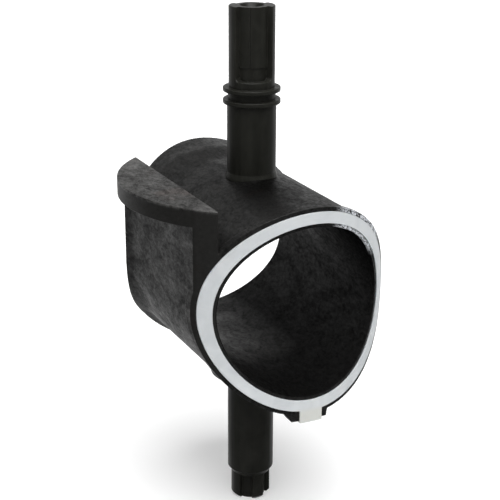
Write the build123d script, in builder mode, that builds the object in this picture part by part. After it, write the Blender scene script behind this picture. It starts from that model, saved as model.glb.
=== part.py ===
from build123d import *
from math import cos, radians, sin
import os

# Rotor of a rotary diverter valve. Millimetres, +Z up along the stems, the flow bore along Y.
# The origin is where the stem axis crosses the bore axis. The sealed end of the barrel faces -Y.

# Barrel
bore_radius = 25.4
barrel_radius = 30.3
end_face_radius = 39.9
rim_radius = 31.9
rim_front = 29.0
rim_foot = 19.0

# Face seal groove, between two thin lips on the sealed end
groove_inner_radius = 26.35
groove_outer_radius = 29.8
groove_floor_radius = 34.2
lip_radius = 31.0
lip_back_radius = 37.8

# Seal ring and the elastomer ring that pushes it out
seal_clearance = 0.08
seal_face_radius = 40.25
seal_back_radius = 36.6
tab_half_width = 3.5
tab_reach = 33.3
notch_clearance = 0.15
notch_back_radius = 36.0

# Lugs on both sides of the seal's tab
lug_reach = 32.7
lug_widths = {-1: 2.3, 1: 1.6}
lug_gussets = {-1: 5.2, 1: 0.6}
lug_sag = 0.12
lug_back = 35.6
lug_overlap = 0.2

# Wing: an upright wall with a shelf on top; both end on the same circle as the end faces
wall_inner_x = -24.75
shelf_top = 30.6
shelf_thickness = 5.3
wing_edge = 0.25

# Bosses and sockets that hold the stems
boss_radius = 12.5
boss_bottom = -33.5
boss_edge = 0.6
socket_floor = 26.6
socket_clearance = 0.02

# Upper stem
upper_radius = 7.25
bead_radius = 7.75
bead_low = 29.2
bead_high = 31.5
flange_radius = 8.45
lower_flange = (52.05, 53.3)
upper_flange = (55.6, 56.8)
gland_radius = 7.0
flange_edge = 0.25
drive_radius = 6.75
drive_top = 80.4
drive_edge = 0.2
lobe_edge = 0.3

# Two opposite recesses of the drive end, and the hole for the handle's screw
recess_bottom = 59.0
recess_step = 63.0
recess_radius = 5.2
recess_step_radius = 4.9
recess_direction = -108.0
recess_half_angle = 52.0
recess_corner = 1.2
split_line_direction = -120.6
split_line_width = 0.5
split_line_depth = 0.25
screw_hole_radius = 2.1
screw_hole_depth = 20.0
dish_radius = 3.7
dish_depth = 1.6

# Lower stem; its spigot is bonded in the boss and its shoulder meets the boss's end
spigot_radius = 6.6
lower_radius = 7.2
taper_top = -66.1
taper_bottom = -67.7
spline_radius = 6.1
spline_floor_radius = 4.5
spline_start = -67.9
spline_bottom = -76.2
spline_edge = 0.9
rib_edge = 0.35
spline_gap_middle = 50.3
spline_gap_half_angle = 20.5

# Lengths that only have to pass through everything
beyond = 45.0


def polar(radius, degrees):
    """A point of the XY plane by its distance from the origin and its direction."""
    return (radius * cos(radians(degrees)), radius * sin(radians(degrees)))


def distance_from_stem_axis(edge):
    """How far the middle of an edge is from the stem axis."""
    return Vector(edge.center().X, edge.center().Y).length


def saddle_ring(inner_radius, outer_radius, back_radius, face_radius, tab_reach=0):
    """A ring about the Y axis on the -Y side, its two ends lying on upright cylinders."""
    with BuildPart() as ring:
        with BuildSketch(Plane.XZ):
            Circle(outer_radius)
            if tab_reach:
                with Locations((0, -tab_reach / 2)):
                    Rectangle(2 * tab_half_width, tab_reach)
            Circle(inner_radius, mode=Mode.SUBTRACT)
        extrude(amount=beyond)
        with BuildSketch(Plane.XY.offset(-beyond)):
            Circle(face_radius)
            Circle(back_radius, mode=Mode.SUBTRACT)
        extrude(amount=2 * beyond, mode=Mode.INTERSECT)
    return ring.part


def sector(direction, half_angle, inner_radius, outer_radius):
    """A flat sector of a ring about the origin, as a sketch."""
    reach = 2 * outer_radius
    with BuildSketch() as flat:
        with BuildLine():
            Polyline(
                (0, 0),
                polar(reach, direction - half_angle),
                polar(reach, direction + half_angle),
                close=True,
            )
        make_face()
        Circle(outer_radius, mode=Mode.INTERSECT)
        Circle(inner_radius, mode=Mode.SUBTRACT)
    return flat.sketch


def lug_outline(side):
    """One lug seen from the front, with the hollow gusset from its tip up to the barrel."""
    near = side * (tab_half_width + notch_clearance)
    far = near + side * lug_widths[side]
    foot = far + side * lug_gussets[side]
    foot_height = lug_overlap - (barrel_radius**2 - foot**2) ** 0.5
    root_height = 3 - groove_outer_radius
    with BuildSketch() as outline:
        with BuildLine():
            Polyline(
                (foot, foot_height),
                (foot, root_height),
                (near, root_height),
                (near, -lug_reach),
                (far, -lug_reach),
            )
            SagittaArc((far, -lug_reach), (foot, foot_height), side * lug_sag * lug_gussets[side])
        make_face()
    return outline.sketch


def make_wing():
    """An upright wall that flares like the barrel's rim, and the shelf that closes it on top."""
    shelf_bottom = shelf_top - shelf_thickness
    with BuildPart() as wing:
        with BuildSketch(Plane.XY) as wall:
            with BuildLine():
                Polyline(
                    (-barrel_radius, rim_foot),
                    (-barrel_radius, -beyond),
                    (wall_inner_x, -beyond),
                    (wall_inner_x, beyond),
                    (-rim_radius, beyond),
                    (-rim_radius, rim_front),
                )
                Spline((-barrel_radius, rim_foot), (-rim_radius, rim_front), tangents=((0, 1), (0, 1)))
            make_face()
            Circle(end_face_radius, mode=Mode.INTERSECT)
            fillet(wall.vertices().group_by(Axis.X)[-1], radius=wing_edge)
        extrude(amount=shelf_top)
        with BuildSketch(Plane.XY.offset(shelf_bottom)) as shelf:
            Circle(end_face_radius)
            with Locations((wall_inner_x - beyond / 2, 0)):
                Rectangle(beyond, 2 * beyond, mode=Mode.INTERSECT)
            fillet(shelf.vertices().group_by(Axis.X)[-1], radius=wing_edge)
        extrude(amount=shelf_thickness)
        fillet(wing.faces().filter_by(Plane.XY).sort_by(Axis.Z)[-1].edges(), radius=wing_edge)
        underside_arcs = (
            wing.edges()
            .filter_by(GeomType.CIRCLE)
            .filter_by_position(Axis.Z, shelf_bottom - 0.01, shelf_bottom + 0.01)
        )
        fillet(underside_arcs.sort_by(Edge.length)[-1], radius=wing_edge)
    return wing.part


def make_drum():
    """The barrel with its lips, lugs, wing and the two stem sockets, one moulding."""
    lip = saddle_ring(groove_outer_radius - 1, lip_radius, lip_back_radius, end_face_radius)
    groove = saddle_ring(groove_inner_radius, groove_outer_radius, groove_floor_radius, beyond)
    lugs = [lug_outline(side) for side in (-1, 1)]
    with BuildPart() as drum:
        # Barrel, flaring to a thicker rim at the open end
        with BuildSketch(Plane.XY):
            with BuildLine():
                Polyline(
                    (barrel_radius, rim_foot),
                    (barrel_radius, -beyond),
                    (0, -beyond),
                    (0, beyond),
                    (rim_radius, beyond),
                    (rim_radius, rim_front),
                )
                Spline((barrel_radius, rim_foot), (rim_radius, rim_front), tangents=((0, 1), (0, 1)))
            make_face()
        revolve(axis=Axis.Y)
        add(lip)
        with BuildSketch(Plane.XZ.offset(lug_back)):
            add(lugs)
        extrude(amount=beyond - lug_back)
        # Both ends are cut by the same upright cylinder
        with BuildSketch(Plane.XY.offset(-beyond)):
            Circle(end_face_radius)
        extrude(amount=2 * beyond, mode=Mode.INTERSECT)
        add(make_wing())
        # Boss round the lower stem
        with BuildSketch(Plane.XY.offset(boss_bottom)):
            Circle(boss_radius)
        extrude(amount=-boss_bottom)
        fillet(drum.faces().filter_by(Plane.XY).sort_by(Axis.Z)[0].edges(), radius=boss_edge)
        # Flow bore, seal groove and the notch for the seal's tab
        with BuildSketch(Plane.XZ):
            Circle(bore_radius)
        extrude(amount=beyond, both=True, mode=Mode.SUBTRACT)
        add(groove, mode=Mode.SUBTRACT)
        with BuildSketch(Plane.XZ.offset(notch_back_radius)):
            with Locations((0, -groove_outer_radius)):
                Rectangle(2 * (tab_half_width + notch_clearance), 4)
        extrude(amount=beyond - notch_back_radius, mode=Mode.SUBTRACT)
        # Stem sockets
        with BuildSketch(Plane.XY.offset(socket_floor)):
            Circle(upper_radius + socket_clearance)
        extrude(amount=beyond, mode=Mode.SUBTRACT)
        with BuildSketch(Plane.XY.offset(-socket_floor)):
            Circle(spigot_radius + socket_clearance)
        extrude(amount=-beyond, mode=Mode.SUBTRACT)
    return drum.part


def make_upper_stem():
    """Journal, two flanges with the O-ring gland between them, and the drive end."""
    directions = (recess_direction, recess_direction + 180)
    recesses = [sector(d, recess_half_angle, recess_radius, 2 * drive_radius) for d in directions]
    steps = [sector(d, recess_half_angle, recess_step_radius, 2 * drive_radius) for d in directions]
    # Bead where the stem meets the barrel, hollowed underneath to the barrel's round top
    with BuildPart() as bead:
        with BuildSketch(Plane.XZ):
            with BuildLine():
                Polyline(
                    (upper_radius - 1, bead_high),
                    (upper_radius - 1, bead_low),
                    (bead_radius, bead_low),
                )
                Spline((bead_radius, bead_low), (upper_radius, bead_high), tangents=((0, 1), (-0.3, 1)))
                Line((upper_radius, bead_high), (upper_radius - 1, bead_high))
            make_face()
        revolve(axis=Axis.Z)
        with BuildSketch(Plane.XZ):
            Circle(barrel_radius)
        extrude(amount=beyond, both=True, mode=Mode.SUBTRACT)
    with BuildPart() as stem:
        with BuildSketch(Plane.XZ):
            with BuildLine():
                Polyline(
                    (0, socket_floor),
                    (upper_radius, socket_floor),
                    (upper_radius, lower_flange[0]),
                    (flange_radius, lower_flange[0]),
                    (flange_radius, lower_flange[1]),
                    (gland_radius, lower_flange[1]),
                    (gland_radius, upper_flange[0]),
                    (flange_radius, upper_flange[0]),
                    (flange_radius, upper_flange[1]),
                    (drive_radius, upper_flange[1]),
                    (drive_radius, drive_top),
                    (0, drive_top),
                    close=True,
                )
            make_face()
        revolve(axis=Axis.Z)
        flange_rims = (
            stem.edges()
            .filter_by(GeomType.CIRCLE)
            .filter_by(lambda edge: abs(edge.radius - flange_radius) < 0.01)
        )
        fillet(flange_rims, radius=flange_edge)
        chamfer(stem.faces().sort_by(Axis.Z)[-1].edges(), length=drive_edge)
        add(bead.part)
        # The recesses are a little deeper below their step
        with BuildSketch(Plane.XY.offset(recess_step)):
            add(recesses)
        extrude(amount=beyond, mode=Mode.SUBTRACT)
        with BuildSketch(Plane.XY.offset(recess_bottom)):
            add(steps)
        extrude(amount=recess_step - recess_bottom, mode=Mode.SUBTRACT)
        corners = (
            stem.edges()
            .filter_by(GeomType.LINE)
            .filter_by(lambda edge: abs(edge.center().Z - recess_bottom) < 0.01)
        )
        fillet(corners, radius=recess_corner)
        lobe_edges = (
            stem.edges()
            .filter_by(Axis.Z)
            .filter_by_position(Axis.Z, recess_step, drive_top)
            .filter_by(lambda edge: abs(distance_from_stem_axis(edge) - drive_radius) < 0.05)
        )
        fillet(lobe_edges, radius=lobe_edge)
        # Mould split line down one recess
        with BuildSketch(Plane.XY.offset(recess_step)):
            with PolarLocations(recess_radius, 1, start_angle=split_line_direction):
                Rectangle(2 * split_line_depth, split_line_width)
        extrude(amount=beyond, mode=Mode.SUBTRACT)
        # Hole for the handle's screw
        with Locations(Plane.XY.offset(drive_top)):
            Hole(screw_hole_radius, depth=screw_hole_depth)
            with Locations((0, 0, -dish_depth)):
                Cone(
                    screw_hole_radius,
                    dish_radius,
                    dish_depth,
                    align=(Align.CENTER, Align.CENTER, Align.MIN),
                    mode=Mode.SUBTRACT,
                )
    return stem.part


def make_lower_stem():
    """Spigot, journal and splined end; the ribs that face the bore's ends are the narrow ones."""
    gaps = [
        sector(direction, spline_gap_half_angle, spline_floor_radius, 2 * spline_radius)
        for direction in (
            spline_gap_middle,
            180 - spline_gap_middle,
            180 + spline_gap_middle,
            -spline_gap_middle,
        )
    ]
    with BuildPart() as stem:
        with BuildSketch(Plane.XZ):
            with BuildLine():
                Polyline(
                    (0, -socket_floor),
                    (spigot_radius, -socket_floor),
                    (spigot_radius, boss_bottom - socket_clearance),
                    (lower_radius, boss_bottom - socket_clearance),
                    (lower_radius, taper_top),
                    (spline_radius, taper_bottom),
                    (spline_radius, spline_bottom),
                    (0, spline_bottom),
                    close=True,
                )
            make_face()
        revolve(axis=Axis.Z)
        chamfer(stem.faces().sort_by(Axis.Z)[0].edges(), length=spline_edge)
        with BuildSketch(Plane.XY.offset(spline_start)):
            add(gaps)
        extrude(amount=spline_bottom - spline_start - 1, mode=Mode.SUBTRACT)
        rib_edges = (
            stem.edges()
            .filter_by(Axis.Z)
            .filter_by_position(Axis.Z, spline_bottom, spline_start)
            .filter_by(lambda edge: abs(distance_from_stem_axis(edge) - spline_radius) < 0.05)
        )
        fillet(rib_edges, radius=rib_edge)
    return stem.part


def make_seal_ring():
    """The white face seal with the tab that keeps it from turning in its groove."""
    return saddle_ring(
        groove_inner_radius + seal_clearance,
        groove_outer_radius - seal_clearance,
        seal_back_radius,
        seal_face_radius,
        tab_reach,
    )


def make_seal_backing_ring():
    """The elastomer ring that fills the groove behind the seal ring."""
    return saddle_ring(
        groove_inner_radius + seal_clearance,
        groove_outer_radius - seal_clearance,
        groove_floor_radius,
        seal_back_radius,
    )


if __name__ == "__main__":
    os.makedirs("parts", exist_ok=True)
    pieces = {
        "drum": make_drum(),
        "upper_stem": make_upper_stem(),
        "lower_stem": make_lower_stem(),
        "seal_ring": make_seal_ring(),
        "seal_backing_ring": make_seal_backing_ring(),
    }
    for name, piece in pieces.items():
        piece.label = name
        export_step(piece, f"parts/{name}.step")
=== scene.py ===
from math import cos, radians, sin

import bpy
from mathutils import Matrix, Vector


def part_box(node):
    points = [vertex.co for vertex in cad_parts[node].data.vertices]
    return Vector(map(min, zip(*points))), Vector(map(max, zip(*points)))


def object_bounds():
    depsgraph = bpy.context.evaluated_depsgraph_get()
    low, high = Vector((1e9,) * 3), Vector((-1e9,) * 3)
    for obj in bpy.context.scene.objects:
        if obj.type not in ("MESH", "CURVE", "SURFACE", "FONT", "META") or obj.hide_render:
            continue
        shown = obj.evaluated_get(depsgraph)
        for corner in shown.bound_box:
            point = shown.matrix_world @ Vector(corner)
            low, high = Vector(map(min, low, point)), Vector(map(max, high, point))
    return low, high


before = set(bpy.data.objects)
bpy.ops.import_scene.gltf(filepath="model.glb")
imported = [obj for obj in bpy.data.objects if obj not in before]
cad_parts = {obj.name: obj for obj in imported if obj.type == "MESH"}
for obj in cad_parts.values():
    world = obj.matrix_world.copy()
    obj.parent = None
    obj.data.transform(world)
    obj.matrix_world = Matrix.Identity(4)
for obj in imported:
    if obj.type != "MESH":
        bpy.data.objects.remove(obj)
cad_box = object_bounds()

MM = 0.001

# Camera: it looks at a point near the middle of the object, from the front, the left and a little above.
# Every angle in this file is in degrees.
camera_azimuth = -25.62
camera_elevation = 19.33
camera_distance = 408.07 * MM
camera_roll = 0.19
camera_lens_mm = 96.74
camera_sensor_mm = 36.0
aim_sideways = -0.34 * MM
aim_above_middle = 4.1 * MM

# Light: the room, the wall behind the object and the floor's own glow have 1 for white. The wall fades
# sideways by wall_fade and upwards by wall_top, to wall_top_share of its strength.
room_strength = 0.12
wall_strength = 0.72
wall_azimuth = -25
wall_fade = (0.0, 0.95)
wall_top = (0.2, 0.52)
wall_top_share = 0.06
key_azimuth = -15
key_elevation = 68
key_strength = 4.6
key_softness = 60
fill_azimuth = 35
fill_elevation = 50
fill_distance = 1.2
fill_size = 0.8
fill_watts = 1.5
floor_glow = 0.25
floor_half_width = 3.0

# Places on the drum where its surface changes. Each pair of values, here and below, runs from where the
# change starts to where it is full. facing_front is of a surface's normal along Y.
bore_wall_radius = (25.6 * MM, 25.5 * MM)
wing_x = (-24.0 * MM, -24.6 * MM)
wall_face_x = (-29.4 * MM, -30.2 * MM)
shelf_top_z = (29.6 * MM, 30.3 * MM)
shelf_foot_z = (24.9 * MM, 25.3 * MM)
facing_front = (-0.4, -0.6)

# Painted shade on top of the barrel, round the stem's foot and in front of it: a darker, duller patch that
# stands in for the stem's shadow and dark reflection
stem_shade_x = 2 * MM
stem_shade_y = -13 * MM
stem_shade_reach = (30 * MM, 5 * MM)
stem_shade_z = (18 * MM, 26 * MM)

# Painted light on the bore's floor: a lighter, glossier patch that stands in for the reflection of the bright
# surroundings at a grazing angle
bore_light_x = (12 * MM, 2 * MM)
bore_light_y = (-14 * MM, 6 * MM)
bore_light_z = (-10 * MM, -22 * MM)

# Ragged silvery patches on the two lips of the sealed end, by their direction about the bore axis
silvering_direction = 52
silvering_half_angle = 20
silvering_blur = 5
lip_radius = (38.4 * MM, 39.0 * MM)
sealed_end_y = (0, -1 * MM)

# The seal ring's tab, by height above the ring's lowest point
tab_height = (4.6 * MM, 3.2 * MM)

# Colours, linear. Each pair runs from the darkest patches to the lightest.
white = (1, 1, 1)
drum_blacks = ((0.0012, 0.0011, 0.0009), (0.0096, 0.0093, 0.0086))
shelf_top_lit_blacks = ((0.006, 0.0057, 0.0052), (0.050, 0.049, 0.047))
stem_blacks = ((0.0095, 0.0096, 0.0078), (0.0165, 0.0167, 0.0140))
rubber_blacks = ((0.012, 0.012, 0.012), (0.035, 0.035, 0.034))
seal_whites = ((0.435, 0.455, 0.468), (0.50, 0.518, 0.528))
floor_whites = ((0.79, 0.79, 0.79), (0.81, 0.81, 0.81))
wing_edge_black = (0.0085, 0.0082, 0.0072)
rust_tint = (1.0, 0.70, 0.62)
shaded = (0.25, 0.25, 0.25)
bore_light_grey = (0.060, 0.056, 0.052)
drum_edge_wear_highlight = (0.036, 0.035, 0.033)
stem_edge_wear_highlight = (0.045, 0.045, 0.041)
seal_edge_wear_highlight = (0.58, 0.59, 0.59)
lip_silver = (0.55, 0.57, 0.60)
tab_cream = (0.475, 0.48, 0.455)

# How much of each mark shows, where 1 is all of it
wing_edge_share = 0.75
rust_share = 0.7
bore_light_share = (0.2, 0.8)
drum_edge_wear_highlight_share = 0.25
stem_edge_wear_highlight_share = 0.45
seal_edge_wear_highlight_share = 0.15

# Roughness and gloss, where a gloss of 0.5 is plain plastic. Each pair goes with the darkest and the lightest
# patches. A share is of the gloss that the place would have without the mark.
drum_roughness = (0.62, 0.34)
drum_gloss = (0.28, 0.64)
wing_edge_roughness = 0.5
wing_edge_gloss = 0.5
stem_shade_gloss_share = 0.15
wall_gloss_share = 0.72
bore_gloss_share = 0.28
bore_light_gloss_share = 2.0
stem_roughness = (0.30, 0.46)
stem_gloss = (0.20, 0.10)
seal_roughness = (0.38, 0.5)
rubber_roughness = (0.7, 0.85)


def direction(azimuth, elevation):
    """A unit vector; azimuth 0 and elevation 0 point along -Y, towards the viewer."""
    a = radians(azimuth)
    e = radians(elevation)
    return Vector((sin(a) * cos(e), -cos(a) * cos(e), sin(e)))


def make_camera():
    """The camera, turned a little about its own axis."""
    low, high = cad_box
    back = direction(camera_azimuth, camera_elevation)
    right = direction(camera_azimuth + 90, 0)
    aim = Vector((0, 0, (low.z + high.z) / 2 + aim_above_middle)) + right * aim_sideways
    turned_right = Matrix.Rotation(radians(camera_roll), 3, back) @ right
    up = back.cross(turned_right)
    data = bpy.data.cameras.new("camera")
    data.lens = camera_lens_mm
    data.sensor_width = camera_sensor_mm
    camera = bpy.data.objects.new("camera", data)
    camera.matrix_world = Matrix((turned_right, up, back)).transposed().to_4x4()
    camera.location = aim + back * camera_distance
    bpy.context.scene.collection.objects.link(camera)
    bpy.context.scene.camera = camera


class Graph:
    """A node tree, with short calls that add a node and give back its first output."""

    def __init__(self, tree):
        self.tree = tree

    def feed(self, socket, value):
        """Links another node's output to a socket, or sets the socket's plain value."""
        if isinstance(value, bpy.types.NodeSocket):
            self.tree.links.new(value, socket)
        elif socket.type == "RGBA":
            socket.default_value = (*value, 1)
        else:
            socket.default_value = value

    def node(self, kind, inputs, **settings):
        """Adds a node with its settings, and feeds its inputs, which go by name or by number."""
        node = self.tree.nodes.new(kind)
        for key, value in settings.items():
            setattr(node, key, value)
        for socket, value in inputs.items():
            self.feed(node.inputs[socket], value)
        return node

    def add(self, kind, inputs, **settings):
        """Adds a node and gives back its first output."""
        return self.node(kind, inputs, **settings).outputs[0]

    def span(self, value, low, high, to_low=0.0, to_high=1.0, shape="LINEAR"):
        """value between low and high becomes to_low to to_high."""
        inputs = {"Value": value, "From Min": low, "From Max": high, "To Min": to_low, "To Max": to_high}
        return self.add("ShaderNodeMapRange", inputs, interpolation_type=shape)

    def maths(self, operation, a, b=0.0):
        """One sum on numbers; b goes unused where the operation takes one number."""
        return self.add("ShaderNodeMath", {0: a, 1: b}, operation=operation)

    def product(self, *values):
        """Numbers multiplied."""
        result = values[0]
        for value in values[1:]:
            result = self.maths("MULTIPLY", result, value)
        return result

    def blend(self, *parts):
        """A sum of numbers, each given with its share."""
        result = self.product(*parts[0])
        for part in parts[1:]:
            result = self.maths("ADD", result, self.product(*part))
        return result

    # A mix node keeps its two numbers at inputs 2 and 3, and its two colours at 6 and 7 with output 2.

    def between(self, factor, a, b):
        """The number a where factor is 0, b where it is 1."""
        return self.add("ShaderNodeMix", {0: factor, 2: a, 3: b})

    def mix(self, factor, a, b, mode="MIX"):
        """The colour a where factor is 0, b where it is 1."""
        inputs = {0: factor, 6: a, 7: b}
        return self.node("ShaderNodeMix", inputs, data_type="RGBA", blend_type=mode).outputs[2]

    def multiply(self, a, b):
        """Two colours multiplied."""
        return self.mix(1.0, a, b, mode="MULTIPLY")

    def parts(self, vector):
        """A vector's coordinates, by the names X, Y and Z."""
        return self.node("ShaderNodeSeparateXYZ", {"Vector": vector}).outputs

    def distance(self, across, along, from_across, from_along):
        """How far a place is from a line, by two of its coordinates."""
        across = self.maths("SUBTRACT", across, from_across)
        along = self.maths("SUBTRACT", along, from_along)
        squares = self.maths("ADD", self.maths("POWER", across, 2), self.maths("POWER", along, 2))
        return self.maths("SQRT", squares)


class Paint(Graph):
    """A material's graph. Places are in the part's own coordinates."""

    def __init__(self, name):
        self.material = bpy.data.materials.new(name)
        self.material.use_nodes = True
        super().__init__(self.material.node_tree)
        self.surface = self.tree.nodes["Principled BSDF"]
        self.place = self.tree.nodes.new("ShaderNodeTexCoord").outputs["Object"]
        self.normal = self.tree.nodes.new("ShaderNodeNewGeometry").outputs["Normal"]

    def set(self, socket, value):
        """Feeds one of the surface's inputs."""
        self.feed(self.surface.inputs[socket], value)

    def noise(self, size, stretch=(1, 1, 1), detail=4, distortion=0, roughness=0.55):
        """Noise from about 0.3 to 0.7. Its blobs are size metres across, times the stretch of each axis."""
        scale = [1 / s for s in stretch]
        inputs = {
            "Vector": self.add("ShaderNodeMapping", {"Vector": self.place, "Scale": scale}),
            "Scale": 1 / size,
            "Detail": detail,
            "Distortion": distortion,
            "Roughness": roughness,
        }
        return self.add("ShaderNodeTexNoise", inputs)

    def soft_edges(self, radius):
        """The normal with edges rounded by radius, and how much of an edge each point is, from 0 to 1."""
        rounded = self.add("ShaderNodeBevel", {"Radius": radius}, samples=6)
        alike = self.node("ShaderNodeVectorMath", {0: rounded, 1: self.normal}, operation="DOT_PRODUCT")
        return rounded, self.span(alike.outputs["Value"], 1.0, 0.85)

    def bump(self, height, distance, strength=1.0, normal=None):
        """The normal of a surface with relief, on top of another normal if one is given."""
        inputs = {"Height": height, "Distance": distance, "Strength": strength}
        if normal is not None:
            inputs["Normal"] = normal
        return self.add("ShaderNodeBump", inputs)


def lip_silvering(g, place, from_axis):
    """Where ragged silvery patches whiten the drum's two lips, on the upper right of the sealed end."""
    ragged = g.noise(0.9 * MM, stretch=(1, 2.5, 1), detail=5, distortion=1.5, roughness=0.7)
    towards = radians(silvering_direction)
    along = g.blend((place["X"], cos(towards)), (place["Z"], sin(towards)))
    aligned = g.maths("DIVIDE", along, from_axis)
    widest = cos(radians(silvering_half_angle + silvering_blur))
    fullest = cos(radians(silvering_half_angle - silvering_blur))
    near = g.span(aligned, widest, fullest)
    lips = g.span(g.distance(place["X"], place["Y"], 0, 0), *lip_radius)
    silvered = g.span(ragged, 0.47, 0.52)
    return g.product(near, lips, g.span(place["Y"], *sealed_end_y), silvered)


def drum_plastic():
    """Glass-filled black moulding: cloudy flow marks and fine streaks, with painted light and shade: edges
    lightened by wear and painted highlight, a lighter shelf top and wing edge, painted shade in the bore and
    round the stem's foot, and a painted reflection on the bore's floor.
    """
    g = Paint("drum_plastic")
    clouds = g.noise(11 * MM, stretch=(1, 1.5, 0.8), detail=7, distortion=1.2, roughness=0.6)
    streaks = g.noise(2.6 * MM, stretch=(1, 2.0, 0.8), detail=5, distortion=1.3, roughness=0.55)
    flecks = g.noise(1.0 * MM, stretch=(1, 1.5, 1), detail=5, distortion=0.5, roughness=0.75)
    grain = g.noise(0.25 * MM, detail=2)
    rust = g.noise(13 * MM, detail=3, distortion=0.8)
    mottle = g.blend((clouds, 0.60), (streaks, 0.25), (g.span(flecks, 0.35, 0.65), 0.15))
    rounded, edge = g.soft_edges(0.25 * MM)

    place = g.parts(g.place)
    from_axis = g.distance(place["X"], place["Z"], 0, 0)
    bore = g.span(from_axis, *bore_wall_radius)
    wing = g.span(place["X"], *wing_x)
    shelf = g.product(wing, g.span(place["Z"], *shelf_top_z))
    wing_end = g.span(g.parts(g.normal)["Y"], *facing_front)
    upright = g.maths("MAXIMUM", g.span(place["Z"], *shelf_foot_z), wing_end)
    wing_edge = g.product(wing, upright, g.span(shelf, 0, 1, wing_edge_share, 0))
    # Mask of the painted shade round the stem's foot
    from_stem_shade = g.distance(place["X"], place["Y"], stem_shade_x, stem_shade_y)
    stem_shade = g.product(g.span(place["Z"], *stem_shade_z), g.span(from_stem_shade, *stem_shade_reach))
    # Mask of the painted light on the bore's floor
    bore_light = g.product(g.span(place["X"], *bore_light_x), g.span(place["Z"], *bore_light_z))
    bore_light = g.product(bore_light, g.span(place["Y"], *bore_light_y))
    bore_light_patch = g.product(bore_light, bore, g.span(mottle, 0.36, 0.62, *bore_light_share))

    shade = g.mix(g.span(mottle, 0.40, 0.62), *drum_blacks)
    # Painted light: the shelf's top is lighter, with stronger mottle, as if lit from above.
    shade = g.mix(shelf, shade, g.mix(g.span(mottle, 0.41, 0.61), *shelf_top_lit_blacks))
    # Painted light: the shelf's outer side and the wing's front end take one even tone, lighter than most of
    # the drum, with a plainer gloss and less relief.
    shade = g.mix(wing_edge, shade, wing_edge_black)
    shade = g.multiply(shade, g.mix(g.span(rust, 0.58, 0.70, 0, rust_share), white, rust_tint))
    shade = g.multiply(shade, g.mix(bore, white, shaded))
    # Painted shade: the barrel top round the stem's foot is darkened.
    shade = g.multiply(shade, g.mix(stem_shade, white, shaded))
    # Painted reflection: a lighter patch on the bore's floor.
    shade = g.mix(bore_light_patch, shade, bore_light_grey)
    # Wear and painted highlight: the drum's edges are lightened.
    shade = g.mix(g.product(edge, drum_edge_wear_highlight_share), shade, drum_edge_wear_highlight)
    g.set("Base Color", g.mix(lip_silvering(g, place, from_axis), shade, lip_silver))

    roughness = g.span(mottle, 0.38, 0.64, *drum_roughness)
    g.set("Roughness", g.between(wing_edge, roughness, wing_edge_roughness))
    gloss = g.span(g.between(0.5, streaks, flecks), 0.38, 0.62, *drum_gloss)
    gloss = g.between(wing_edge, gloss, wing_edge_gloss)
    # Painted shade also dulls the gloss round the stem's foot.
    stem_shade_gloss = g.between(stem_shade, 1.0, stem_shade_gloss_share)
    outside = g.span(place["X"], *wall_face_x, 1, wall_gloss_share)
    inside = g.between(bore, 1.0, g.between(bore_light, bore_gloss_share, bore_light_gloss_share))
    g.set("Specular IOR Level", g.product(gloss, stem_shade_gloss, outside, inside))
    relief = g.bump(mottle, 0.25 * MM, g.between(wing_edge, 0.5, 0.15), rounded)
    g.set("Normal", g.bump(grain, 0.02 * MM, 0.5, relief))
    return g.material


def stem_plastic():
    """Smooth black moulding with faint draw lines along the stems."""
    g = Paint("stem_plastic")
    draw = g.noise(1.2 * MM, stretch=(1, 1, 14), detail=4, distortion=0.2)
    clouds = g.noise(7 * MM, detail=5, distortion=0.9)
    grain = g.noise(0.2 * MM, detail=2)
    rounded, edge = g.soft_edges(0.2 * MM)
    mottle = g.blend((clouds, 0.5), (draw, 0.5))
    shade = g.mix(g.span(mottle, 0.38, 0.64), *stem_blacks)
    # Wear and painted highlight: the stems' edges are lightened.
    g.set("Base Color", g.mix(g.product(edge, stem_edge_wear_highlight_share), shade, stem_edge_wear_highlight))
    g.set("Roughness", g.span(draw, 0.3, 0.7, *stem_roughness))
    g.set("Specular IOR Level", g.span(draw, 0.3, 0.7, *stem_gloss))
    relief = g.bump(draw, 0.03 * MM, 0.4, rounded)
    g.set("Normal", g.bump(grain, 0.01 * MM, 0.4, relief))
    return g.material


def seal_plastic():
    """Satin white seal plastic that light enters a little, warmer at the tab."""
    g = Paint("seal_plastic")
    clouds = g.noise(6 * MM, detail=4, distortion=0.6)
    lathe = g.noise(0.5 * MM, stretch=(1, 6, 1), detail=3)
    rounded, edge = g.soft_edges(0.25 * MM)
    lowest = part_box("seal_ring")[0].z
    tab = g.span(g.parts(g.place)["Z"], *(lowest + height for height in tab_height))
    shade = g.mix(g.span(clouds, 0.35, 0.68), *seal_whites)
    shade = g.mix(tab, shade, tab_cream)
    # Wear and painted highlight: the seal's edges are lightened.
    g.set("Base Color", g.mix(g.product(edge, seal_edge_wear_highlight_share), shade, seal_edge_wear_highlight))
    g.set("Roughness", g.span(lathe, 0.3, 0.7, *seal_roughness))
    g.set("Subsurface Weight", 0.25)
    g.set("Subsurface Radius", (0.8, 0.9, 1.0))
    g.set("Subsurface Scale", 1.0 * MM)
    g.set("Normal", g.bump(lathe, 0.01 * MM, 0.4, rounded))
    return g.material


def backing_rubber():
    """Black elastomer, dull, with a dusty bloom."""
    g = Paint("backing_rubber")
    bloom = g.noise(1.5 * MM, detail=4)
    grain = g.noise(0.15 * MM, detail=2)
    g.set("Base Color", g.mix(g.span(bloom, 0.4, 0.7), *rubber_blacks))
    g.set("Roughness", g.span(bloom, 0.3, 0.7, *rubber_roughness))
    g.set("Normal", g.bump(grain, 0.02 * MM, 0.6))
    return g.material


def dress(node, material):
    """Gives a CAD node's object its material."""
    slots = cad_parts[node].data.materials
    slots.clear()
    slots.append(material)


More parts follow.
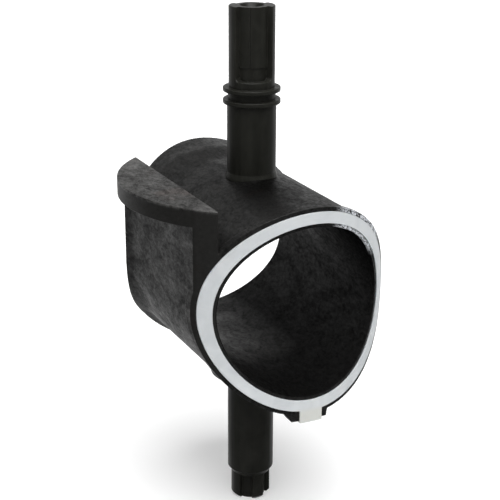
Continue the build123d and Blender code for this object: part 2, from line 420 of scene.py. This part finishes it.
def make_floor():
    """A wide pale floor under the lower stem."""
    half = floor_half_width
    level = cad_box[0].z
    mesh = bpy.data.meshes.new("floor")
    corners = [(-half, -half, level), (half, -half, level), (half, half, level), (-half, half, level)]
    mesh.from_pydata(corners, [], [(0, 1, 2, 3)])
    floor = bpy.data.objects.new("floor", mesh)
    bpy.context.scene.collection.objects.link(floor)
    g = Paint("floor_paint")
    speckle = g.noise(60 * MM, detail=3)
    g.set("Base Color", g.mix(speckle, *floor_whites))
    g.set("Emission Strength", floor_glow)
    g.set("Roughness", 0.9)
    g.set("Specular IOR Level", 0.1)
    mesh.materials.append(g.material)
    floor.visible_glossy = False


def add_light(name, kind, azimuth, elevation, distance, settings):
    """A light that shines at the part from one direction."""
    data = bpy.data.lights.new(name, kind)
    for key, value in settings.items():
        setattr(data, key, value)
    light = bpy.data.objects.new(name, data)
    towards = direction(azimuth, elevation)
    light.location = towards * distance
    light.rotation_euler = towards.to_track_quat("Z", "Y").to_euler()
    bpy.context.scene.collection.objects.link(light)


def make_world():
    """A dim studio: a pale wall behind the object, fading upwards and towards the viewer."""
    world = bpy.data.worlds.new("studio")
    bpy.context.scene.world = world
    world.use_nodes = True
    g = Graph(world.node_tree)
    background = g.tree.nodes["Background"]
    place = g.tree.nodes.new("ShaderNodeTexCoord").outputs["Generated"]
    away = -direction(wall_azimuth, 0)
    behind = g.node("ShaderNodeVectorMath", {0: place, 1: away}, operation="DOT_PRODUCT").outputs["Value"]
    wall = g.span(behind, *wall_fade, 0.0, wall_strength, shape="SMOOTHSTEP")
    height = g.span(g.parts(place)["Z"], *wall_top, 1.0, wall_top_share, shape="SMOOTHSTEP")
    room = g.maths("ADD", g.product(wall, height), room_strength)
    camera_ray = g.tree.nodes.new("ShaderNodeLightPath").outputs["Is Camera Ray"]
    g.feed(background.inputs["Color"], white)
    g.feed(background.inputs["Strength"], g.between(camera_ray, room, 1.0))


def make_light():
    """The studio, one large soft light in front and above, and one small fill."""
    make_world()
    key = {"energy": key_strength, "angle": radians(key_softness)}
    add_light("key", "SUN", key_azimuth, key_elevation, 0, key)
    fill = {"energy": fill_watts, "shape": "SQUARE", "size": fill_size}
    add_light("fill", "AREA", fill_azimuth, fill_elevation, fill_distance, fill)


make_camera()
stem = stem_plastic()
dress("drum", drum_plastic())
dress("upper_stem", stem)
dress("lower_stem", stem)
dress("seal_ring", seal_plastic())
dress("seal_backing_ring", backing_rubber())
make_floor()
make_light()
bpy.context.scene.view_settings.view_transform = "Standard"
